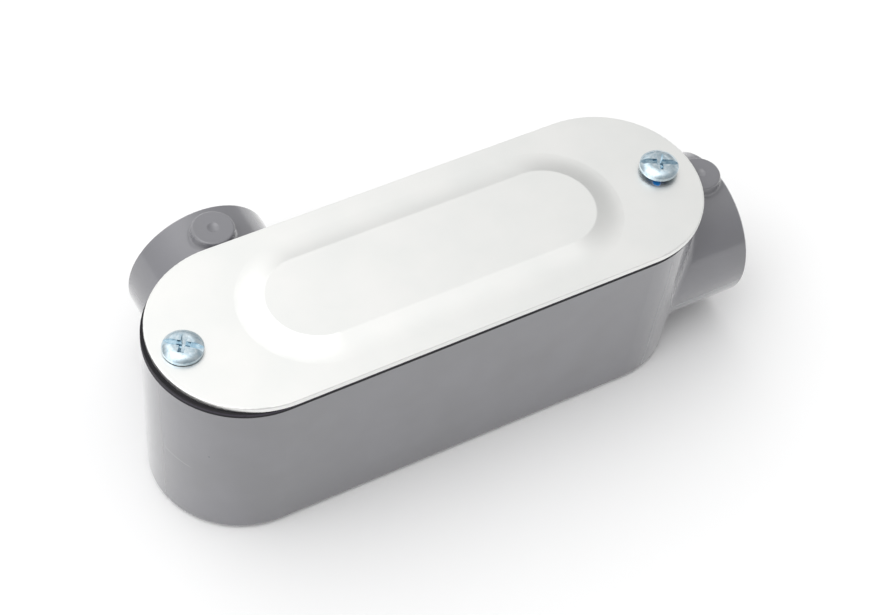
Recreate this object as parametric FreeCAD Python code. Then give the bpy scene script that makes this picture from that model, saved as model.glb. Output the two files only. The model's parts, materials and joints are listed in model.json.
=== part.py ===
import FreeCAD, Part
import math
import os

# Conduit body, 3/4 trade size, LR pattern, with threaded hubs.
#
# A die-cast aluminium box with a stadium outline carries one threaded hub on its
# rounded end and one on its long side. A rubber gasket lies on its rim, a stamped
# sheet cover closes it, and two pan-head screws hold the cover down.
#
# Frame: +Z up through the cover, +X out of the end hub, +Y out of the side hub.
# The origin is the centre of the casting's flat base. Millimetres and degrees.

# ---- casting: outline, walls and draft ------------------------------------------
rim_length = 125.9
rim_width = 40.7
casting_height = 40.5
draft_angle = 1.7
wall = 2.4
floor_thickness = 2.6
base_edge_round = 1.5
chamber_floor_round = 2.0

# ---- hubs: a round barrel with a tapped bore, a conduit stop and a throat --------
hub_axis_height = 18.3
hub_radius = 16.3
hub_edge_bevel = 0.35
bevel_overrun = 0.15
hub_root_round = 3.2
end_hub_reach = 10.25          # from the rim's end to the hub's face
side_hub_reach = 17.75         # from the rim's side to the hub's face
side_hub_setback = 28.8        # from the rim's plain end to the hub's axis
thread_root_radius = 13.2      # major radius of the 3/4-14 pipe thread
thread_length = 12.2
bore_lead_in = 0.8
throat_radius = 10.45          # bore of the conduit that stops against the lip
stop_thickness = 2.6
stop_lip_round = 1.0
end_mouth_radius = 11.6        # where the end throat opens into the chamber
side_mouth_radius = 13.0       # where the side throat opens into the chamber
collar_radius = 15.4           # outside of the end hub's stop, inside the chamber

# ---- undrilled set-screw pad on top of each hub ----------------------------------
pad_radius = 4.6
pad_height = 2.05              # above the crown of the hub
end_pad_from_face = 5.15       # pad centre to the end hub's face
side_pad_from_face = 7.3       # and to the side hub's face
pad_edge_round = 0.5
pad_foot_round = 1.1
pad_side_angle = 4.0
centre_mark_radius = 1.3
centre_mark_depth = 0.4

# ---- cover screws and the tapped bosses that take them ---------------------------
screw_inset = 7.15             # from the rim's end to the screw's axis
shank_root_radius = 1.66       # thread root of a no. 8 screw, 32 threads per inch
shank_length = 9.5
shank_tip_chamfer = 0.4
head_radius = 4.2
head_rim_height = 0.7
head_crown_height = 1.05
head_flat_radius = 1.9
head_crown_bulge = 0.35        # of the crown's arc over its chord
slot_width = 1.3
slot_depth = 0.95
cross_span = 4.6
cross_arm_width = 1.25
cross_depth = 1.45
cross_tip_ratio = 0.4
tapped_hole_clearance = 0.07
tapped_hole_depth = 8.6
boss_radius = 4.1
hub_boss_depth = 9.2
boss_foot_round = 1.0
mouth_relief_radius = 2.45
mouth_relief_depth = 2.7
hub_end_screw_proud = 1.0      # underside of the head above the cover, at rest
blind_end_screw_proud = 0.2
hub_end_slot_turn = -29.5
blind_end_slot_turn = -37.5

# ---- nylon locking patch fused to one side of each screw's thread ----------------
patch_thickness = 0.44
patch_length = 2.9
patch_arc = 130.0
patch_below_head = 0.1
patch_bond_gap = 0.02
hub_end_patch_turn = 235.0
blind_end_patch_turn = 60.0

# ---- gasket and cover ------------------------------------------------------------
gasket_thickness = 1.6
gasket_ring_width = 3.6
gasket_ear_radius = 5.2
gasket_hole_radius = 2.5
cover_end_setback = 0.05       # the cover's ends lie this far inside the rim's
cover_side_overhang = 0.65     # and its sides this far outside
cover_thickness = 1.2
cover_edge_round = 0.25
cover_hole_radius = 3.1
cover_shift_along = 0.8        # the cover lies a little off centre on its loose holes
cover_shift_across = 0.2
panel_top_length = 75.0
panel_top_width = 20.6
panel_rise = 1.1
panel_flare = 6.1
panel_edge_round = 1.0

# ---- places that follow from the sizes above -------------------------------------
UP = FreeCAD.Vector(0, 0, 1)
ALONG = FreeCAD.Vector(1, 0, 0)
ACROSS = FreeCAD.Vector(0, 1, 0)
rim_radius = rim_width / 2
end_centre = (rim_length - rim_width) / 2
draft_inset = casting_height * math.tan(math.radians(draft_angle))
end_hub_face = rim_length / 2 + end_hub_reach
side_hub_face = rim_width / 2 + side_hub_reach
side_hub_along = side_hub_setback - rim_length / 2
hub_crown = hub_axis_height + hub_radius
stop_face_depth = bore_lead_in + thread_length
hub_inner_depth = stop_face_depth + stop_thickness
screw_along = rim_length / 2 - screw_inset
tapped_hole_radius = shank_root_radius + tapped_hole_clearance
cover_length = rim_length - 2 * cover_end_setback
cover_width = rim_width + 2 * cover_side_overhang
cover_underside = casting_height + gasket_thickness
cover_top = cover_underside + cover_thickness
overshoot = 1.0                # how far a cutting solid runs past what it cuts
trim_allowance = 6.0           # extra height and length that is trimmed off the casting
same_place = 0.001             # two places closer than this are taken as one
edge_shares = (0.2, 0.5, 0.8)  # where an edge is looked at to tell which one it is


def point(x, y, z):
    return FreeCAD.Vector(x, y, z)


def closed_face(edges):
    return Part.Face(Part.Wire(edges))


def polygon_face(points):
    return Part.Face(Part.makePolygon(points + [points[0]]))


def lines_through(points):
    return [Part.makeLine(points[k], points[k + 1]) for k in range(len(points) - 1)]


def turned(face):
    """A solid of revolution about the Z axis from a profile drawn in the XZ plane."""
    return face.revolve(point(0, 0, 0), UP, 360)


def bulged_arc(start, end, bulge):
    """An arc in the XZ plane that stands off its chord by the bulge, away from the axis."""
    chord = end - start
    outward = point(-chord.z, 0, chord.x)
    if outward.x < 0:
        outward = outward * -1
    outward.normalize()
    return Part.Arc(start, (start + end) * 0.5 + outward * bulge, end).toShape()


def stadium_prism(length, width, z_low, z_high):
    """A straight-sided stadium plate, long side along X, centred on the Z axis."""
    radius = width / 2
    centre = (length - width) / 2
    height = z_high - z_low
    middle = Part.makeBox(2 * centre, width, height, point(-centre, -radius, z_low))
    ends = [Part.makeCylinder(radius, height, point(side * centre, 0, z_low)) for side in (-1, 1)]
    return middle.multiFuse(ends).removeSplitter()


def drafted_stadium(centre, radius_low, radius_high, z_low, z_high):
    """A stadium block whose walls lean outwards from bottom to top."""
    height = z_high - z_low
    section = polygon_face([
        point(-centre, -radius_low, z_low),
        point(-centre, radius_low, z_low),
        point(-centre, radius_high, z_high),
        point(-centre, -radius_high, z_high),
    ])
    middle = section.extrude(ALONG * (2 * centre))
    ends = [Part.makeCone(radius_low, radius_high, height, point(side * centre, 0, z_low))
            for side in (-1, 1)]
    return middle.multiFuse(ends).removeSplitter()


def radius_at(height):
    """Outer radius of the casting's rounded end at a height above the base."""
    return rim_radius - draft_inset * (1 - height / casting_height)


def edges_at_height(shape, height):
    return [edge for edge in shape.Edges
            if max(abs(edge.BoundBox.ZMin - height), abs(edge.BoundBox.ZMax - height)) < same_place]


def hub_axes():
    """Each hub's face centre and outward direction, end hub first."""
    end = (point(end_hub_face, 0, hub_axis_height), ALONG)
    side = (point(side_hub_along, side_hub_face, hub_axis_height), ACROSS)
    return [end, side]


def pad_places():
    """Each hub's face centre and direction, with the centre of its pad at axis height."""
    (end_face, end_out), (side_face, side_out) = hub_axes()
    return [
        (end_face, end_out, end_face - end_out * end_pad_from_face),
        (side_face, side_out, side_face - side_out * side_pad_from_face),
    ]


def set_screw_pad(centre):
    """The undrilled set-screw pad: a drafted disc that stands on the hub's crown."""
    foot = hub_axis_height + thread_root_radius
    height = hub_crown + pad_height - foot
    spread = height * math.tan(math.radians(pad_side_angle))
    pad = Part.makeCone(pad_radius + spread, pad_radius, height, point(centre.x, centre.y, foot))
    return pad.makeFillet(pad_edge_round, edges_at_height(pad, foot + height))


def centre_mark(centre):
    """Cutter for the round dimple that marks where a set screw would go."""
    sphere_radius = (centre_mark_radius ** 2 + centre_mark_depth ** 2) / (2 * centre_mark_depth)
    height = hub_crown + pad_height - centre_mark_depth + sphere_radius
    return Part.makeSphere(sphere_radius, point(centre.x, centre.y, height))


def hub_face_cutter():
    """Cutter that ends a hub at its face and bevels its rim, drawn along +Z.

    The bevel runs a little past the barrel's surface before it turns outwards, so that
    it also crosses the foot of the pad cleanly.
    """
    reach = hub_radius + hub_root_round + pad_height
    depth = hub_edge_bevel + bevel_overrun
    outline = [
        (hub_radius - hub_edge_bevel, 0), (hub_radius + bevel_overrun, -depth), (reach, -depth),
        (reach, 2 * trim_allowance), (0, 2 * trim_allowance), (0, 0),
    ]
    return turned(polygon_face([point(radius, 0, height) for radius, height in outline]))


def casting_outside():
    """Box, hubs and pads in one, with cast radii where they leave each other.

    Everything is first made too tall and too long, so that the radii run through, and
    is then trimmed at the base, the rim and the hubs' faces.
    """
    low = -trim_allowance
    high = casting_height + trim_allowance
    box = drafted_stadium(end_centre, radius_at(low), radius_at(high), low, high)
    (end_face, end_out), (side_face, side_out) = hub_axes()
    end_length = end_hub_face - end_centre + trim_allowance
    side_length = side_hub_face + trim_allowance
    barrels = [
        Part.makeCylinder(hub_radius, end_length, end_face + end_out * trim_allowance, end_out * -1),
        Part.makeCylinder(hub_radius, side_length, side_face + side_out * trim_allowance, side_out * -1),
    ]
    whole = box.multiFuse(barrels).removeSplitter()
    whole = whole.makeFillet(hub_root_round, [edge for edge in whole.Edges if is_hub_root(edge)])
    for face_centre, outward, pad_centre in pad_places():
        whole = whole.fuse(set_screw_pad(pad_centre))
        foot_edges = [edge for edge in whole.Edges if is_pad_foot(edge, pad_centre)]
        whole = whole.makeFillet(pad_foot_round, foot_edges)
        whole = whole.cut(centre_mark(pad_centre))
        whole = whole.cut(placed_along(hub_face_cutter(), face_centre, outward))
    for bottom in (low - overshoot, casting_height):
        slab = Part.makeBox(2 * rim_length, 2 * rim_length, trim_allowance + overshoot,
                            point(-rim_length, -rim_length, bottom))
        whole = whole.cut(slab)
    return whole.makeFillet(base_edge_round, edges_at_height(whole, 0))


def spots_on(edge):
    first, last = edge.ParameterRange
    return [edge.valueAt(first + share * (last - first)) for share in edge_shares]


def is_pad_foot(edge, centre):
    """True for the edges where a pad's side meets the barrel it stands on."""
    spread = (hub_crown - hub_axis_height) * math.tan(math.radians(pad_side_angle))
    for spot in spots_on(edge):
        offset = math.hypot(spot.x - centre.x, spot.y - centre.y)
        on_side = pad_radius < offset < pad_radius + spread
        if not (on_side and hub_axis_height < spot.z < hub_crown + same_place):
            return False
    return True


def is_hub_root(edge):
    """True for the edges where a hub's barrel meets the wall of the box."""
    for spot in spots_on(edge):
        above_axis = spot.z - hub_axis_height
        from_end_hub = abs(math.hypot(spot.y, above_axis) - hub_radius)
        from_side_hub = abs(math.hypot(spot.x - side_hub_along, above_axis) - hub_radius)
        near_end = from_end_hub < same_place and end_centre < spot.x < rim_length / 2 + same_place
        near_side = from_side_hub < same_place and 0 < spot.y < rim_radius + same_place
        if not (near_end or near_side):
            return False
    return True


def chamber_core():
    """The core that leaves the wiring chamber; it runs out above the rim."""
    low = floor_thickness
    high = casting_height + overshoot
    core = drafted_stadium(end_centre, radius_at(low) - wall, radius_at(high) - wall, low, high)
    core = core.makeFillet(chamber_floor_round, edges_at_height(core, low))
    end_face, end_out = hub_axes()[0]
    collar = Part.makeCylinder(collar_radius, hub_inner_depth, end_face - end_out * hub_inner_depth, end_out)
    core = core.cut(collar)
    core = core.cut(screw_boss(-1, 0))
    return core.cut(screw_boss(1, casting_height - hub_boss_depth))


def screw_boss(side, foot):
    """A boss for one cover screw, run into the rounded end wall behind it.

    The plain end's boss stands on the floor, as the core leaves no undercut there.
    The hub end's boss stops above the throat, where the hub's own core comes in.
    """
    reach = side * screw_inset
    outline = [
        Part.makeLine(point(0, -boss_radius, foot), point(reach, -boss_radius, foot)),
        Part.makeLine(point(reach, -boss_radius, foot), point(reach, boss_radius, foot)),
        Part.makeLine(point(reach, boss_radius, foot), point(0, boss_radius, foot)),
        Part.Arc(point(0, boss_radius, foot), point(-side * boss_radius, 0, foot),
                 point(0, -boss_radius, foot)).toShape(),
    ]
    boss = closed_face(outline).extrude(UP * (casting_height + overshoot - foot))
    if foot > 0:
        inner = [edge for edge in edges_at_height(boss, foot) if abs(edge.CenterOfMass.x) < abs(reach)]
        boss = boss.makeFillet(boss_foot_round, inner)
    return boss.translated(ALONG * (side * screw_along))


def tapped_hole(side):
    hole = Part.makeCylinder(tapped_hole_radius, tapped_hole_depth + overshoot,
                             point(side * screw_along, 0, casting_height - tapped_hole_depth))
    relief = Part.makeCylinder(mouth_relief_radius, mouth_relief_depth + overshoot,
                               point(side * screw_along, 0, casting_height - mouth_relief_depth))
    return hole.fuse(relief)


def hub_bore(mouth_depth, mouth_radius):
    """Cutter for one hub, drawn along +Z with the hub's face at zero.

    From the face inwards: lead-in, tapped length at the thread's root radius, the
    square stop, its rounded lip, and the throat that widens into the chamber.
    """
    stop = -stop_face_depth
    lip_end = stop - stop_lip_round
    throat_end = stop - stop_thickness
    outline = [
        (throat_radius, lip_end), (throat_radius, throat_end), (mouth_radius, -mouth_depth),
        (0, -mouth_depth), (0, overshoot), (thread_root_radius + bore_lead_in, overshoot),
        (thread_root_radius + bore_lead_in, 0), (thread_root_radius, -bore_lead_in),
        (thread_root_radius, stop), (throat_radius + stop_lip_round, stop),
    ]
    points = [point(radius, 0, depth) for radius, depth in outline]
    lip_centre = point(throat_radius + stop_lip_round, 0, lip_end)
    toward_axis = point(-1, 0, 1).normalize()
    lip = Part.Arc(points[-1], lip_centre + toward_axis * stop_lip_round, points[0]).toShape()
    return turned(closed_face(lines_through(points) + [lip]))


def placed_along(shape, face_centre, outward):
    """Move a shape drawn along +Z so that its +Z becomes the hub's outward axis."""
    moved = shape.copy()
    moved.Placement = FreeCAD.Placement(face_centre, FreeCAD.Rotation(UP, outward))
    return moved


def body_casting():
    """The whole casting: box, two hubs, pads, chamber, bores and tapped holes."""
    (end_face, end_out), (side_face, side_out) = hub_axes()
    end_mouth_depth = hub_inner_depth + overshoot
    side_mouth_depth = side_hub_face - (radius_at(0) - wall)
    solid = casting_outside().cut(chamber_core())
    solid = solid.cut(placed_along(hub_bore(end_mouth_depth, end_mouth_radius), end_face, end_out))
    solid = solid.cut(placed_along(hub_bore(side_mouth_depth, side_mouth_radius), side_face, side_out))
    for side in (-1, 1):
        solid = solid.cut(tapped_hole(side))
    return solid.removeSplitter()


def cover_gasket():
    """A die-cut rubber ring, flush with the rim, with an ear round each screw."""
    blank = stadium_prism(rim_length, rim_width, casting_height, cover_underside)
    opening = stadium_prism(rim_length - 2 * gasket_ring_width, rim_width - 2 * gasket_ring_width,
                            casting_height - overshoot, cover_underside + overshoot)
    for side in (-1, 1):
        ear = Part.makeCylinder(gasket_ear_radius, gasket_thickness + 2 * overshoot,
                                point(side * screw_along, 0, casting_height - overshoot))
        opening = opening.cut(ear)
    opening = max(opening.Solids, key=lambda solid: solid.Volume)
    ring = blank.cut(opening)
    for side in (-1, 1):
        ring = ring.cut(Part.makeCylinder(gasket_hole_radius, gasket_thickness + 2 * overshoot,
                                          point(side * screw_along, 0, casting_height - overshoot)))
    return ring.removeSplitter()


def panel_block(face_height, foot_depth):
    """The raised panel as a solid: a flat top and a flared foot that runs out level.

    The rounded shoulder and the foot are two arcs that meet in a common tangent.
    """
    shoulder = panel_edge_round
    foot_radius = (panel_flare ** 2 + panel_rise ** 2) / (2 * panel_rise) - shoulder
    flat_radius = panel_top_width / 2
    foot_end = flat_radius + panel_flare
    lean = math.asin(panel_flare / (foot_radius + shoulder))
    top = face_height + panel_rise
    join = (flat_radius + shoulder * math.sin(lean), top - shoulder * (1 - math.cos(lean)))
    on_shoulder = (flat_radius + shoulder * math.sin(lean / 2), top - shoulder * (1 - math.cos(lean / 2)))
    on_foot = (foot_end - foot_radius * math.sin(lean / 2),
               face_height + foot_radius * (1 - math.cos(lean / 2)))
    low = face_height - foot_depth

    def section():
        start = point(flat_radius, 0, top)
        middle = point(join[0], 0, join[1])
        end = point(foot_end, 0, face_height)
        return closed_face([
            Part.makeLine(point(0, 0, low), point(0, 0, top)),
            Part.makeLine(point(0, 0, top), start),
            Part.Arc(start, point(on_shoulder[0], 0, on_shoulder[1]), middle).toShape(),
            Part.Arc(middle, point(on_foot[0], 0, on_foot[1]), end).toShape(),
            Part.makeLine(end, point(foot_end, 0, low)),
            Part.makeLine(point(foot_end, 0, low), point(0, 0, low)),
        ])

    centre = (panel_top_length - panel_top_width) / 2
    pieces = [turned(section()).translated(ALONG * (side * centre)) for side in (-1, 1)]
    for turn in (90, -90):
        half = section()
        half.rotate(point(0, 0, 0), UP, turn)
        half.translate(ALONG * -centre)
        pieces.append(half.extrude(ALONG * (2 * centre)))
    return pieces[0].multiFuse(pieces[1:]).removeSplitter()


def cover_plate():
    """Sheet cover: blanked stadium, pressed panel, two loose screw holes."""
    sheet = stadium_prism(cover_length, cover_width, cover_underside, cover_top)
    sheet = sheet.makeFillet(cover_edge_round, edges_at_height(sheet, cover_top))
    pressing = panel_block(cover_top, cover_thickness / 2)
    hollow = panel_block(cover_underside, overshoot)
    sheet = sheet.fuse(pressing).cut(hollow)
    for side in (-1, 1):
        sheet = sheet.cut(Part.makeCylinder(cover_hole_radius, cover_thickness + 2 * overshoot,
                                            point(side * screw_along, 0, cover_underside - overshoot)))
    sheet = sheet.removeSplitter()
    return sheet.translated(point(cover_shift_along, cover_shift_across, 0))


def driver_recess():
    """Slot and cross recess, drawn with the top of the head at zero height."""
    slot = Part.makeBox(2 * (head_radius + overshoot), slot_width, slot_depth + overshoot,
                        point(-head_radius - overshoot, -slot_width / 2, -slot_depth))
    recess = slot
    for turn in (0, 90):
        low = arm_outline(cross_span * cross_tip_ratio, cross_arm_width * cross_tip_ratio, -cross_depth)
        high = arm_outline(cross_span, cross_arm_width, 0)
        arm = Part.makeLoft([low, high], True, True)
        lid = Part.Face(high).extrude(UP * overshoot)
        arm = arm.fuse(lid)
        arm.rotate(point(0, 0, 0), UP, turn)
        recess = recess.fuse(arm)
    return recess


def arm_outline(span, width, height):
    points = [point(-span / 2, -width / 2, height), point(span / 2, -width / 2, height),
              point(span / 2, width / 2, height), point(-span / 2, width / 2, height)]
    return Part.makePolygon(points + [points[0]])


def cover_screw(side, proud, slot_turn):
    """Pan-head screw; its head's underside stands proud of the cover at rest."""
    head_top = head_rim_height + head_crown_height
    tip = -shank_length
    outline = [
        (head_radius, head_rim_height), (head_radius, 0), (shank_root_radius, 0),
        (shank_root_radius, tip + shank_tip_chamfer), (shank_root_radius - shank_tip_chamfer, tip),
        (0, tip), (0, head_top), (head_flat_radius, head_top),
    ]
    points = [point(radius, 0, height) for radius, height in outline]
    crown = bulged_arc(points[-1], points[0], head_crown_bulge)
    screw = turned(closed_face(lines_through(points) + [crown]))
    screw = screw.cut(driver_recess().translated(UP * head_top))
    screw.rotate(point(0, 0, 0), UP, slot_turn)
    return screw.translated(point(side * screw_along, 0, cover_top + proud))


def thread_patch(side, proud, patch_turn):
    """A thin arc of nylon bonded to the thread just under the head."""
    inner = shank_root_radius + patch_bond_gap
    top = cover_top + proud - patch_below_head
    section = polygon_face([
        point(inner, 0, top - patch_length),
        point(inner + patch_thickness, 0, top - patch_length),
        point(inner + patch_thickness, 0, top),
        point(inner, 0, top),
    ])
    patch = section.revolve(point(0, 0, 0), UP, patch_arc)
    patch.rotate(point(0, 0, 0), UP, patch_turn - patch_arc / 2)
    return patch.translated(point(side * screw_along, 0, 0))


def build():
    return {
        "body_casting": body_casting(),
        "cover_gasket": cover_gasket(),
        "cover_plate": cover_plate(),
        "cover_screw_hub_end": cover_screw(1, hub_end_screw_proud, hub_end_slot_turn),
        "cover_screw_blind_end": cover_screw(-1, blind_end_screw_proud, blind_end_slot_turn),
        "thread_patch_hub_end": thread_patch(1, hub_end_screw_proud, hub_end_patch_turn),
        "thread_patch_blind_end": thread_patch(-1, blind_end_screw_proud, blind_end_patch_turn),
    }


os.makedirs("parts", exist_ok=True)
for node, shape in build().items():
    shape.exportStep(f"parts/{node}.step")
    print(f"{node}: {len(shape.Solids)} solid, {shape.Volume / 1000:.2f} cm3, valid {shape.isValid()}")
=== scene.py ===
import bpy
import bmesh
import json
import math
from mathutils import Matrix, Vector


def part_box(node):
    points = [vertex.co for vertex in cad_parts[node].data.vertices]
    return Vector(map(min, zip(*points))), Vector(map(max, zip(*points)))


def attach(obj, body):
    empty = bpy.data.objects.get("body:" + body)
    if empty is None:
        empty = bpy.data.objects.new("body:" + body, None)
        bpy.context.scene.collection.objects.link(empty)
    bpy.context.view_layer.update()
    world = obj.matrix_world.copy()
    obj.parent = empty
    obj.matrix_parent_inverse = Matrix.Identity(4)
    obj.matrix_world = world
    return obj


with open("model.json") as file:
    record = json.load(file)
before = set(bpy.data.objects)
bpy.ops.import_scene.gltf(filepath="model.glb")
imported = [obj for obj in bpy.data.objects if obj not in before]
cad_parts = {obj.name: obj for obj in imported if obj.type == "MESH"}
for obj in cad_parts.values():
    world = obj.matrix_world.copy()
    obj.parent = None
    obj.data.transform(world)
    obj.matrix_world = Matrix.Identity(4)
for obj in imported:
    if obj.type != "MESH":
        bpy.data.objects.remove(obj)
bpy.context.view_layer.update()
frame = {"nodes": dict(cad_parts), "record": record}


# ---- the casting ------------------------------------------------------------------
# A die-cast aluminium box with two hubs, sprayed with grey enamel and baked. The
# enamel flows out to a gloss with a faint orange peel; the tapped bores are cut
# afterwards, so their walls are bare metal.
MM = 0.001
casting_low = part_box("body_casting")[0]
mounts = {mount["name"]: mount for mount in frame["record"]["mounts"]}
hub_mounts = [mounts["end_hub"], mounts["side_hub"]]
bore_lead_in = 0.85
short_of_stop = 0.999
cloud_size = 14 * MM
dust_spacing = 13 * MM
dust_radius = 0.22 * MM
peel_size = 2.2 * MM
peel_depth = 0.012 * MM
scratch_start = Vector((-62.3, -4.0, 20.0)) * MM
scratch_end = Vector((-59.5, -11.2, 18.9)) * MM
scratch_half_width = 0.14 * MM
scratch_fades_from = 0.35
# The paler line round the foot is a painted highlight, the light caught by the rounded bottom edge.
painted_foot_highlight_height = 0.75 * MM
painted_foot_highlight_share = 0.5


def linear(hex_colour):
    """An sRGB hex colour as the linear colour with alpha that shaders take."""
    channels = [int(hex_colour[k:k + 2], 16) / 255 for k in (1, 3, 5)]
    return [c / 12.92 if c <= 0.04045 else ((c + 0.055) / 1.055) ** 2.4 for c in channels] + [1.0]


def add_node(tree, kind, settings=None, links=None):
    """A node with its settings: names of sockets or of properties, and links into it."""
    node = tree.nodes.new(kind)
    for name, value in (settings or {}).items():
        if isinstance(name, int) or name in node.inputs:
            node.inputs[name].default_value = value
        else:
            setattr(node, name, value)
    for name, source in (links or {}).items():
        tree.links.new(source, node.inputs[name])
    return node


def new_material(name):
    """An empty material, with its tree, its shader and its output joined up."""
    material = bpy.data.materials.new(name)
    material.use_nodes = True
    tree = material.node_tree
    tree.nodes.clear()
    shader = add_node(tree, "ShaderNodeBsdfPrincipled")
    add_node(tree, "ShaderNodeOutputMaterial", {}, {"Surface": shader.outputs["BSDF"]})
    return material, tree, shader


def dress(node, material):
    """Give a CAD node's object one material."""
    node.data.materials.clear()
    node.data.materials.append(material)


def bare_bores(tree, place):
    """One inside the two tapped bores, out to their lead-ins, and nought elsewhere."""
    inside = None
    for mount in hub_mounts:
        axis = Vector(mount["axis"])
        inner_end = -mount["dims"]["length_mm"] / 2 * MM * short_of_stop
        widest = (mount["dims"]["r_mm"] + bore_lead_in) * MM
        from_hub = add_node(tree, "ShaderNodeVectorMath",
                            {"operation": "SUBTRACT", 1: mount["pos_m"]}, {0: place}).outputs[0]
        along = add_node(tree, "ShaderNodeVectorMath",
                         {"operation": "DOT_PRODUCT", 1: axis}, {0: from_hub}).outputs["Value"]
        across = add_node(tree, "ShaderNodeVectorMath",
                          {"operation": "MULTIPLY", 1: Vector((1, 1, 1)) - axis},
                          {0: from_hub}).outputs[0]
        radius = add_node(tree, "ShaderNodeVectorMath",
                          {"operation": "LENGTH"}, {0: across}).outputs["Value"]
        past_stop = add_node(tree, "ShaderNodeMath",
                             {"operation": "GREATER_THAN", 1: inner_end}, {0: along}).outputs[0]
        in_bore = add_node(tree, "ShaderNodeMath",
                           {"operation": "LESS_THAN", 1: widest}, {0: radius}).outputs[0]
        both = add_node(tree, "ShaderNodeMath",
                        {"operation": "MULTIPLY"}, {0: past_stop, 1: in_bore}).outputs[0]
        inside = both if inside is None else add_node(
            tree, "ShaderNodeMath", {"operation": "MAXIMUM"}, {0: inside, 1: both}).outputs[0]
    return inside


def hairline(tree, place, wander):
    """Up to one along the hairline scratch low on the blind end, fading at both its ends."""
    run = scratch_end - scratch_start
    from_start = add_node(tree, "ShaderNodeVectorMath",
                          {"operation": "SUBTRACT", 1: scratch_start}, {0: place}).outputs[0]
    downward = (Vector((0, 0, 1)) - run * run.z / run.length_squared).normalized()
    off_line = add_node(tree, "ShaderNodeVectorMath",
                        {"operation": "DOT_PRODUCT", 1: downward}, {0: from_start}).outputs["Value"]
    off_line = add_node(tree, "ShaderNodeMath", {"operation": "ABSOLUTE"}, {0: off_line}).outputs[0]
    on_line = add_node(tree, "ShaderNodeMapRange", {"From Min": scratch_half_width, "From Max": 0.0},
                       {"Value": off_line}).outputs[0]
    from_middle = add_node(tree, "ShaderNodeVectorMath",
                           {"operation": "DISTANCE", 1: (scratch_start + scratch_end) / 2},
                           {0: place}).outputs["Value"]
    in_run = add_node(tree, "ShaderNodeMapRange",
                      {"From Min": run.length / 2, "From Max": run.length * scratch_fades_from},
                      {"Value": from_middle}).outputs[0]
    both = add_node(tree, "ShaderNodeMath", {"operation": "MULTIPLY"}, {0: on_line, 1: in_run}).outputs[0]
    return add_node(tree, "ShaderNodeMath", {"operation": "MULTIPLY"}, {0: both, 1: wander}).outputs[0]


def grey_enamel():
    """Baked grey enamel: a glossy skin with a faint orange peel, some dust under it, a
    hairline scratch, and a paler line round the foot, a painted highlight on its rounded bottom edge."""
    material, tree, shader = new_material("baked_grey_enamel_sprayed")
    place = add_node(tree, "ShaderNodeTexCoord").outputs["Object"]
    cloud = add_node(tree, "ShaderNodeTexNoise", {"Scale": 1 / cloud_size, "Detail": 2.0}, {"Vector": place})
    coat = add_node(tree, "ShaderNodeValToRGB", {}, {"Fac": cloud.outputs["Fac"]})
    coat.color_ramp.elements[0].position = 0.35
    coat.color_ramp.elements[0].color = linear("#737377")
    coat.color_ramp.elements[1].position = 0.65
    coat.color_ramp.elements[1].color = linear("#77777C")

    dust = add_node(tree, "ShaderNodeTexVoronoi", {"Scale": 1 / dust_spacing}, {"Vector": place})
    on_dust = add_node(tree, "ShaderNodeMath", {"operation": "LESS_THAN", 1: dust_radius / dust_spacing},
                       {0: dust.outputs["Distance"]}).outputs[0]
    dusty = add_node(tree, "ShaderNodeMix", {"data_type": "RGBA", 7: linear("#56565B")},
                     {0: on_dust, 6: coat.outputs["Color"]}).outputs[2]
    on_scratch = hairline(tree, place, cloud.outputs["Fac"])
    scratched = add_node(tree, "ShaderNodeMix", {"data_type": "RGBA", 7: linear("#B8B8BC")},
                         {0: on_scratch, 6: dusty}).outputs[2]
    height = add_node(tree, "ShaderNodeSeparateXYZ", {}, {0: place}).outputs["Z"]
    # Painted highlight: the lowest 0.75 mm is mixed toward a paler grey, standing in for light on the bottom
    # edge.
    painted_foot_highlight = add_node(tree, "ShaderNodeMapRange",
                       {"From Min": casting_low.z + painted_foot_highlight_height,
                        "From Max": casting_low.z + painted_foot_highlight_height / 2, "To Max": painted_foot_highlight_share},
                       {"Value": height}).outputs[0]
    foot_highlighted = add_node(tree, "ShaderNodeMix", {"data_type": "RGBA", 7: linear("#98989C")},
                      {0: painted_foot_highlight, 6: scratched}).outputs[2]
    bare = bare_bores(tree, place)
    colour = add_node(tree, "ShaderNodeMix", {"data_type": "RGBA", 7: linear("#D0D2D3")},
                      {0: bare, 6: foot_highlighted}).outputs[2]
    tree.links.new(colour, shader.inputs["Base Color"])
    tree.links.new(bare, shader.inputs["Metallic"])

    gloss = add_node(tree, "ShaderNodeMapRange",
                     {"From Min": 0.3, "From Max": 0.7, "To Min": 0.2, "To Max": 0.26},
                     {"Value": cloud.outputs["Fac"]})
    tree.links.new(gloss.outputs[0], shader.inputs["Roughness"])
    peel = add_node(tree, "ShaderNodeTexNoise", {"Scale": 1 / peel_size, "Detail": 1.0}, {"Vector": place})
    bump = add_node(tree, "ShaderNodeBump", {"Strength": 0.2, "Distance": peel_depth},
                    {"Height": peel.outputs["Fac"]})
    tree.links.new(bump.outputs["Normal"], shader.inputs["Normal"])
    shader.inputs["IOR"].default_value = 1.5
    shader.inputs["Coat Weight"].default_value = 1.0
    shader.inputs["Coat Roughness"].default_value = 0.12
    return material


dress(frame["nodes"]["body_casting"], grey_enamel())


# ---- the pipe threads in the hubs -------------------------------------------------
# 14 threads to the inch, cut by a tap into each hub down to its stop. They are
# fresh-cut aluminium, bare and bright, with no enamel on them.
pipe_thread_pitch = 25.4 / 14 * MM
pipe_thread_height = 1.25 * MM
pipe_thread_steps = 96
pipe_thread_sunk = 0.04 * MM
cut_grain = 0.4 * MM
foot_half_width = 0.44
crest_half_width = 0.06
run_out_turns = 0.5
run_out_height = 0.02
run_out_width = 0.35


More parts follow.
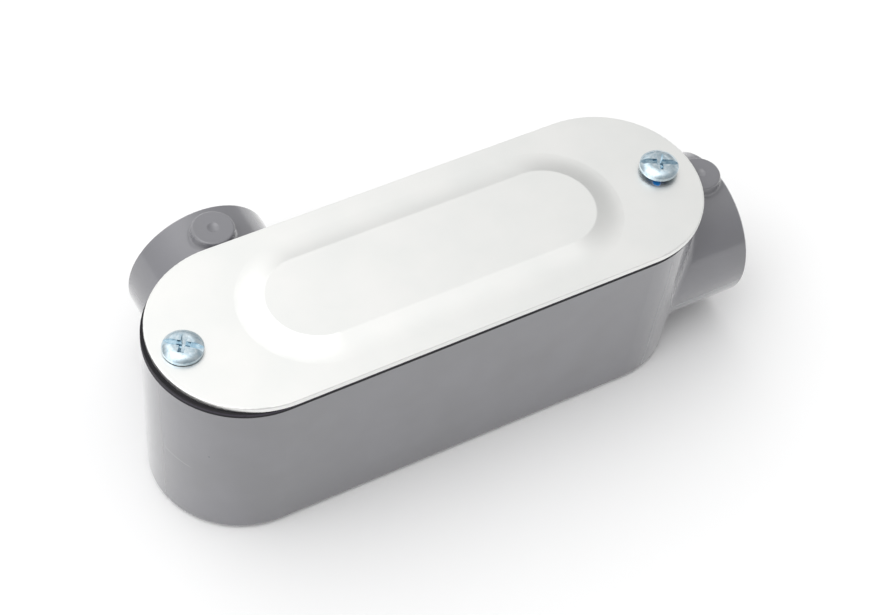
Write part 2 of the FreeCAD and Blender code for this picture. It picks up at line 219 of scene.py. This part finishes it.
def tapped_aluminium():
    """Aluminium cut by a tap: bright, with the fine torn grain the cutting edges leave."""
    material, tree, shader = new_material("tapped_aluminium")
    place = add_node(tree, "ShaderNodeTexCoord").outputs["Object"]
    grain = add_node(tree, "ShaderNodeTexNoise", {"Scale": 1 / cut_grain, "Detail": 2.0}, {"Vector": place})
    spread = add_node(tree, "ShaderNodeMapRange", {"To Min": 0.25, "To Max": 0.45},
                      {"Value": grain.outputs["Fac"]})
    tree.links.new(spread.outputs[0], shader.inputs["Roughness"])
    shader.inputs["Base Color"].default_value = linear("#D4D5D6")
    shader.inputs["Metallic"].default_value = 1.0
    return material


def frame_along(axis):
    """A turn that takes +Z to the axis."""
    return Vector((0, 0, 1)).rotation_difference(Vector(axis)).to_matrix().to_4x4()


def thread_ridge(name, root_radius, crest_radius, pitch, length, steps_a_turn, sunk):
    """A helical ridge along +Z from zero, between two radii, its ends run out to nothing.
    Its foot is sunk a little into the wall that it stands on."""
    mesh = bpy.data.meshes.new(name)
    shape = bmesh.new()
    turns = length / pitch
    outward = 1 if crest_radius > root_radius else -1
    foot = root_radius - outward * sunk
    tip = pitch * crest_half_width
    rings = []
    for k in range(int(turns * steps_a_turn) + 1):
        turn = k / steps_a_turn
        fade = min(1.0, turn / run_out_turns, (turns - turn) / run_out_turns)
        crest = root_radius + (crest_radius - root_radius) * max(fade, run_out_height)
        half = pitch * foot_half_width * (run_out_width + (1 - run_out_width) * fade)
        angle = 2 * math.pi * turn
        middle = pitch / 2 + turn * pitch * (length - pitch) / length
        section = [(foot, -half), (crest, -tip), (crest, tip), (foot, half)]
        rings.append([shape.verts.new((r * math.cos(angle), r * math.sin(angle), middle + dz))
                      for r, dz in section])
    for near, far in zip(rings, rings[1:]):
        for k in range(4):
            following = (k + 1) % 4
            shape.faces.new((near[k], near[following], far[following], far[k]))
    shape.faces.new(rings[0])
    shape.faces.new(list(reversed(rings[-1])))
    bmesh.ops.recalc_face_normals(shape, faces=shape.faces)
    shape.to_mesh(mesh)
    shape.free()
    piece = bpy.data.objects.new(name, mesh)
    bpy.context.collection.objects.link(piece)
    return piece


bare_thread = tapped_aluminium()
for mount in hub_mounts:
    wall_radius = mount["dims"]["r_mm"] * MM
    wall_length = mount["dims"]["length_mm"] * MM
    ridge = thread_ridge("pipe_thread_" + mount["name"], wall_radius, wall_radius - pipe_thread_height,
                         pipe_thread_pitch, wall_length, pipe_thread_steps, pipe_thread_sunk)
    inner_end = Vector(mount["pos_m"]) - Vector(mount["axis"]) * (wall_length / 2)
    ridge.matrix_world = Matrix.Translation(inner_end) @ frame_along(mount["axis"])
    ridge.data.materials.append(bare_thread)
    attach(ridge, "housing")


# ---- the gasket -------------------------------------------------------------------
# A ring die-cut from black rubber sheet and laid on the casting's rim. Its two faces
# are smooth. Its cut edge is greyer half way up and painted darker at its top and bottom, as shade under the
# cover and on the rim.
gasket_low, gasket_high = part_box("cover_gasket")
rubber_grain = 0.35 * MM
rubber_grain_depth = 0.03 * MM


def die_cut_rubber():
    """Black sheet rubber: dull and finely pitted, with a greyer band along its cut edge between painted shade
    at its top and bottom.
    """
    material, tree, shader = new_material("black_rubber_die_cut")
    place = add_node(tree, "ShaderNodeTexCoord").outputs["Object"]
    grain = add_node(tree, "ShaderNodeTexNoise", {"Scale": 1 / rubber_grain, "Detail": 3.0}, {"Vector": place})
    height = add_node(tree, "ShaderNodeSeparateXYZ", {}, {0: place}).outputs["Z"]
    share = add_node(tree, "ShaderNodeMapRange", {"From Min": gasket_low.z, "From Max": gasket_high.z},
                     {"Value": height})
    # Painted shade: darker toward the top and bottom of the cut edge, standing in for shadow under the cover
    # and on the rim.
    painted_shade_band = add_node(tree, "ShaderNodeValToRGB", {}, {"Fac": share.outputs[0]})
    painted_shade_band.color_ramp.interpolation = "EASE"
    painted_shade_band.color_ramp.elements[0].position = 0.2
    painted_shade_band.color_ramp.elements[0].color = linear("#121015")
    painted_shade_band.color_ramp.elements[1].position = 0.8
    painted_shade_band.color_ramp.elements[1].color = linear("#151318")
    middle = painted_shade_band.color_ramp.elements.new(0.5)
    middle.color = linear("#38343F")
    worn = add_node(tree, "ShaderNodeMapRange",
                    {"From Min": 0.3, "From Max": 0.7, "To Min": 0.75, "To Max": 1.2},
                    {"Value": grain.outputs["Fac"]})
    colour = add_node(tree, "ShaderNodeVectorMath", {"operation": "SCALE"},
                      {0: painted_shade_band.outputs["Color"], "Scale": worn.outputs[0]})
    tree.links.new(colour.outputs[0], shader.inputs["Base Color"])
    bump = add_node(tree, "ShaderNodeBump", {"Strength": 0.4, "Distance": rubber_grain_depth},
                    {"Height": grain.outputs["Fac"]})
    tree.links.new(bump.outputs["Normal"], shader.inputs["Normal"])
    shader.inputs["Roughness"].default_value = 0.6
    shader.inputs["Specular IOR Level"].default_value = 0.25
    return material


dress(frame["nodes"]["cover_gasket"], die_cut_rubber())


# ---- the cover --------------------------------------------------------------------
# Blanked and pressed from mill-finish sheet aluminium and held by two screws. Satin,
# with a fine rolling grain, faint cloudy marks from handling, and a blue smear beside
# one hole, rubbed off the screw's nylon patch.
rolling_grain_length = 9 * MM
rolling_grain_width = 0.3 * MM
rolling_grain_depth = 0.01 * MM
handling_mark_size = 11 * MM
handling_mark_share = 0.6
smeared_screw_low, smeared_screw_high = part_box("cover_screw_hub_end")
smear_from_screw = Vector((-2.25, -2.95, 0)) * MM
smear_radius = 1.0 * MM
smear_edge_size = 0.8 * MM
smear_edge_depth = 0.9 * MM


def rubbed_nylon(tree, place):
    """One on the small ragged smear of nylon, and nought elsewhere."""
    screw_axis = (smeared_screw_low + smeared_screw_high) / 2
    middle = Vector((screw_axis.x, screw_axis.y, 0)) + smear_from_screw
    flat = add_node(tree, "ShaderNodeVectorMath",
                    {"operation": "MULTIPLY", 1: (1, 1, 0)}, {0: place}).outputs[0]
    away = add_node(tree, "ShaderNodeVectorMath",
                    {"operation": "DISTANCE", 1: middle}, {0: flat}).outputs["Value"]
    ragged = add_node(tree, "ShaderNodeTexNoise", {"Scale": 1 / smear_edge_size, "Detail": 2.0},
                      {"Vector": place})
    away = add_node(tree, "ShaderNodeMath", {"operation": "MULTIPLY_ADD", 1: smear_edge_depth},
                    {0: ragged.outputs["Fac"], 2: away}).outputs[0]
    return add_node(tree, "ShaderNodeMapRange",
                    {"From Min": smear_radius * 1.5, "From Max": smear_radius * 1.2},
                    {"Value": away}).outputs[0]


def mill_finish_aluminium():
    """Rolled aluminium sheet: satin, with a faint grain along its length."""
    material, tree, shader = new_material("mill_finish_aluminium_sheet")
    place = add_node(tree, "ShaderNodeTexCoord").outputs["Object"]
    grain_scale = (1 / rolling_grain_length, 1 / rolling_grain_width, 1 / rolling_grain_width)
    stretch = add_node(tree, "ShaderNodeMapping", {"Scale": grain_scale}, {"Vector": place})
    grain = add_node(tree, "ShaderNodeTexNoise", {"Scale": 1.0, "Detail": 2.0},
                     {"Vector": stretch.outputs[0]})
    cloud = add_node(tree, "ShaderNodeTexNoise", {"Scale": 1 / handling_mark_size, "Detail": 3.0},
                     {"Vector": place})
    blend = add_node(tree, "ShaderNodeMix", {"data_type": "FLOAT", 0: handling_mark_share},
                     {2: grain.outputs["Fac"], 3: cloud.outputs["Fac"]})
    spread = add_node(tree, "ShaderNodeMapRange",
                      {"From Min": 0.3, "From Max": 0.7, "To Min": 0.37, "To Max": 0.4},
                      {"Value": blend.outputs[0]})
    tree.links.new(spread.outputs[0], shader.inputs["Roughness"])
    colour = add_node(tree, "ShaderNodeValToRGB", {}, {"Fac": cloud.outputs["Fac"]})
    colour.color_ramp.elements[0].position = 0.3
    colour.color_ramp.elements[0].color = linear("#EBECEA")
    colour.color_ramp.elements[1].position = 0.7
    colour.color_ramp.elements[1].color = linear("#EFEFED")
    rubbed = rubbed_nylon(tree, place)
    marked = add_node(tree, "ShaderNodeMix", {"data_type": "RGBA", 7: linear("#1F74BC")},
                      {0: rubbed, 6: colour.outputs["Color"]})
    tree.links.new(marked.outputs[2], shader.inputs["Base Color"])
    metal = add_node(tree, "ShaderNodeMath", {"operation": "SUBTRACT", 0: 1.0}, {1: rubbed})
    tree.links.new(metal.outputs[0], shader.inputs["Metallic"])
    bump = add_node(tree, "ShaderNodeBump", {"Strength": 0.12, "Distance": rolling_grain_depth},
                    {"Height": grain.outputs["Fac"]})
    tree.links.new(bump.outputs["Normal"], shader.inputs["Normal"])
    return material


dress(frame["nodes"]["cover_plate"], mill_finish_aluminium())


# ---- the cover screws -------------------------------------------------------------
# No. 8 pan-head steel screws, cold-headed, thread-rolled and zinc plated with a clear
# blue passivate. The plating is bright, with the small ripples of the plating barrel.
ripple_size = 0.9 * MM
ripple_depth = 0.02 * MM
screw_length_under_head = 9.5 * MM
screw_pitch = 25.4 / 32 * MM
screw_root_radius = 1.66 * MM
screw_crest_radius = 2.06 * MM
screw_thread_steps = 48
screw_thread_sunk = 0.02 * MM
threaded_run = 5.3 * MM
head_to_thread = 0.35 * MM


def zinc_plate():
    """Bright zinc with a blue passivate: a cold gloss, a little uneven."""
    material, tree, shader = new_material("blue_passivated_zinc_plate")
    place = add_node(tree, "ShaderNodeTexCoord").outputs["Object"]
    ripple = add_node(tree, "ShaderNodeTexNoise", {"Scale": 1 / ripple_size, "Detail": 3.0}, {"Vector": place})
    spread = add_node(tree, "ShaderNodeMapRange",
                      {"From Min": 0.3, "From Max": 0.7, "To Min": 0.1, "To Max": 0.24},
                      {"Value": ripple.outputs["Fac"]})
    tree.links.new(spread.outputs[0], shader.inputs["Roughness"])
    colour = add_node(tree, "ShaderNodeValToRGB", {}, {"Fac": ripple.outputs["Fac"]})
    colour.color_ramp.elements[0].position = 0.3
    colour.color_ramp.elements[0].color = linear("#A9BECA")
    colour.color_ramp.elements[1].position = 0.7
    colour.color_ramp.elements[1].color = linear("#D2DEE4")
    tree.links.new(colour.outputs["Color"], shader.inputs["Base Color"])
    bump = add_node(tree, "ShaderNodeBump", {"Strength": 0.35, "Distance": ripple_depth},
                    {"Height": ripple.outputs["Fac"]})
    tree.links.new(bump.outputs["Normal"], shader.inputs["Normal"])
    shader.inputs["Metallic"].default_value = 1.0
    return material


zinc = zinc_plate()
for end in ("hub_end", "blind_end"):
    dress(frame["nodes"]["cover_screw_" + end], zinc)
    low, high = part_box("cover_screw_" + end)
    underside = low.z + screw_length_under_head
    ridge = thread_ridge("screw_thread_" + end, screw_root_radius, screw_crest_radius, screw_pitch,
                         threaded_run - head_to_thread, screw_thread_steps, screw_thread_sunk)
    ridge.location = ((low.x + high.x) / 2, (low.y + high.y) / 2, underside - threaded_run)
    ridge.data.materials.append(zinc)
    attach(ridge, "screw_" + end)


# ---- the locking patches ----------------------------------------------------------
# Blue nylon powder fused on to one side of each screw's thread, where it grips the
# tapped hole.
nylon_grain = 0.25 * MM
nylon_grain_depth = 0.03 * MM


def fused_nylon():
    """Fused blue nylon: dull, a little grainy."""
    material, tree, shader = new_material("blue_nylon_fused")
    place = add_node(tree, "ShaderNodeTexCoord").outputs["Object"]
    grain = add_node(tree, "ShaderNodeTexNoise", {"Scale": 1 / nylon_grain, "Detail": 2.0}, {"Vector": place})
    colour = add_node(tree, "ShaderNodeValToRGB", {}, {"Fac": grain.outputs["Fac"]})
    colour.color_ramp.elements[0].color = linear("#0E5FA8")
    colour.color_ramp.elements[1].color = linear("#2B86CE")
    tree.links.new(colour.outputs["Color"], shader.inputs["Base Color"])
    bump = add_node(tree, "ShaderNodeBump", {"Strength": 0.5, "Distance": nylon_grain_depth},
                    {"Height": grain.outputs["Fac"]})
    tree.links.new(bump.outputs["Normal"], shader.inputs["Normal"])
    shader.inputs["Roughness"].default_value = 0.5
    return material


nylon = fused_nylon()
for end in ("hub_end", "blind_end"):
    dress(frame["nodes"]["thread_patch_" + end], nylon)


# ---- the floor --------------------------------------------------------------------
# A wide sheet of matt white paper, a hair under the casting's foot.
floor_half_width = 3.0
floor_gap = 0.02 * MM
floor_mesh = bpy.data.meshes.new("floor")
corners = [(x * floor_half_width, y * floor_half_width, 0) for x, y in ((-1, -1), (1, -1), (1, 1), (-1, 1))]
floor_mesh.from_pydata(corners, [], [(0, 1, 2, 3)])
floor = bpy.data.objects.new("floor", floor_mesh)
floor.location.z = casting_low.z - floor_gap
bpy.context.collection.objects.link(floor)
paper, paper_tree, paper_shader = new_material("white_paper")
paper_shader.inputs["Base Color"].default_value = linear("#FAFAFA")
paper_shader.inputs["Roughness"].default_value = 0.9
floor.data.materials.append(paper)


# ---- the light --------------------------------------------------------------------
# A white room, plain white to the eye and dimmer in a gloss, so that the pale cover
# keeps its shading. Broad soft lights stand round it, the strongest up on the left,
# each fading out evenly, as a large diffuser does.
room_for_eye = 1.0
room_in_gloss = 0.48
room_for_matt = 0.38
patch_tightness = 8.0
soft_lights = [
    ((-0.50, 0.00, 0.87), 1.90), ((-0.15, 0.48, 0.87), 0.60), ((0.15, -0.20, 0.97), 0.60),
    ((0.00, 0.85, 0.53), 0.60), ((0.99, 0.00, 0.14), 0.30), ((-0.96, -0.10, 0.25), 1.00),
]
world = bpy.data.worlds.new("studio")
bpy.context.scene.world = world
world.use_nodes = True
sky = world.node_tree
sky.nodes.clear()
direction = add_node(sky, "ShaderNodeTexCoord").outputs["Generated"]
path = add_node(sky, "ShaderNodeLightPath")
in_gloss = add_node(sky, "ShaderNodeMath", {"operation": "MAXIMUM"},
                    {0: path.outputs["Is Glossy Ray"], 1: path.outputs["Is Transmission Ray"]}).outputs[0]
room = add_node(sky, "ShaderNodeMapRange", {"To Min": room_for_matt, "To Max": room_in_gloss},
                {"Value": in_gloss}).outputs[0]
glow = None
for toward_light, strength in soft_lights:
    facing = add_node(sky, "ShaderNodeVectorMath",
                      {"operation": "DOT_PRODUCT", 1: Vector(toward_light).normalized()},
                      {0: direction}).outputs["Value"]
    fall = add_node(sky, "ShaderNodeMath",
                    {"operation": "MULTIPLY_ADD", 1: patch_tightness, 2: -patch_tightness},
                    {0: facing}).outputs[0]
    patch = add_node(sky, "ShaderNodeMath", {"operation": "EXPONENT"}, {0: fall}).outputs[0]
    added = {0: patch} if glow is None else {0: patch, 2: glow}
    glow = add_node(sky, "ShaderNodeMath", {"operation": "MULTIPLY_ADD", 1: strength, 2: 0.0},
                    added).outputs[0]
lit = add_node(sky, "ShaderNodeMath", {"operation": "ADD"}, {0: glow, 1: room}).outputs[0]
level = add_node(sky, "ShaderNodeMix", {"data_type": "FLOAT", 3: room_for_eye},
                 {0: path.outputs["Is Camera Ray"], 2: lit}).outputs[0]
background = add_node(sky, "ShaderNodeBackground", {"Color": (1, 1, 1, 1)}, {"Strength": level})
add_node(sky, "ShaderNodeOutputWorld", {}, {"Surface": background.outputs[0]})


# ---- the camera -------------------------------------------------------------------
# It looks down on the cover from beyond the blind end and the side with no hub,
# through a long lens.
camera_place = (-0.17443, -0.24697, 0.39926)
camera_right = Vector((0.8655, -0.4926, 0.0907))
camera_up = Vector((0.3360, 0.7053, 0.6243))
camera = bpy.data.objects.new("camera", bpy.data.cameras.new("camera"))
back = camera_right.cross(camera_up).normalized()
up = back.cross(camera_right).normalized()
turn = Matrix((camera_right.normalized(), up, back)).transposed().to_4x4()
camera.matrix_world = Matrix.Translation(camera_place) @ turn
camera.data.sensor_width = 36.0
camera.data.lens = 92.37
camera.data.clip_start = 0.01
camera.data.clip_end = 20.0
bpy.context.collection.objects.link(camera)
bpy.context.scene.camera = camera
bpy.context.scene.view_settings.view_transform = "Standard"
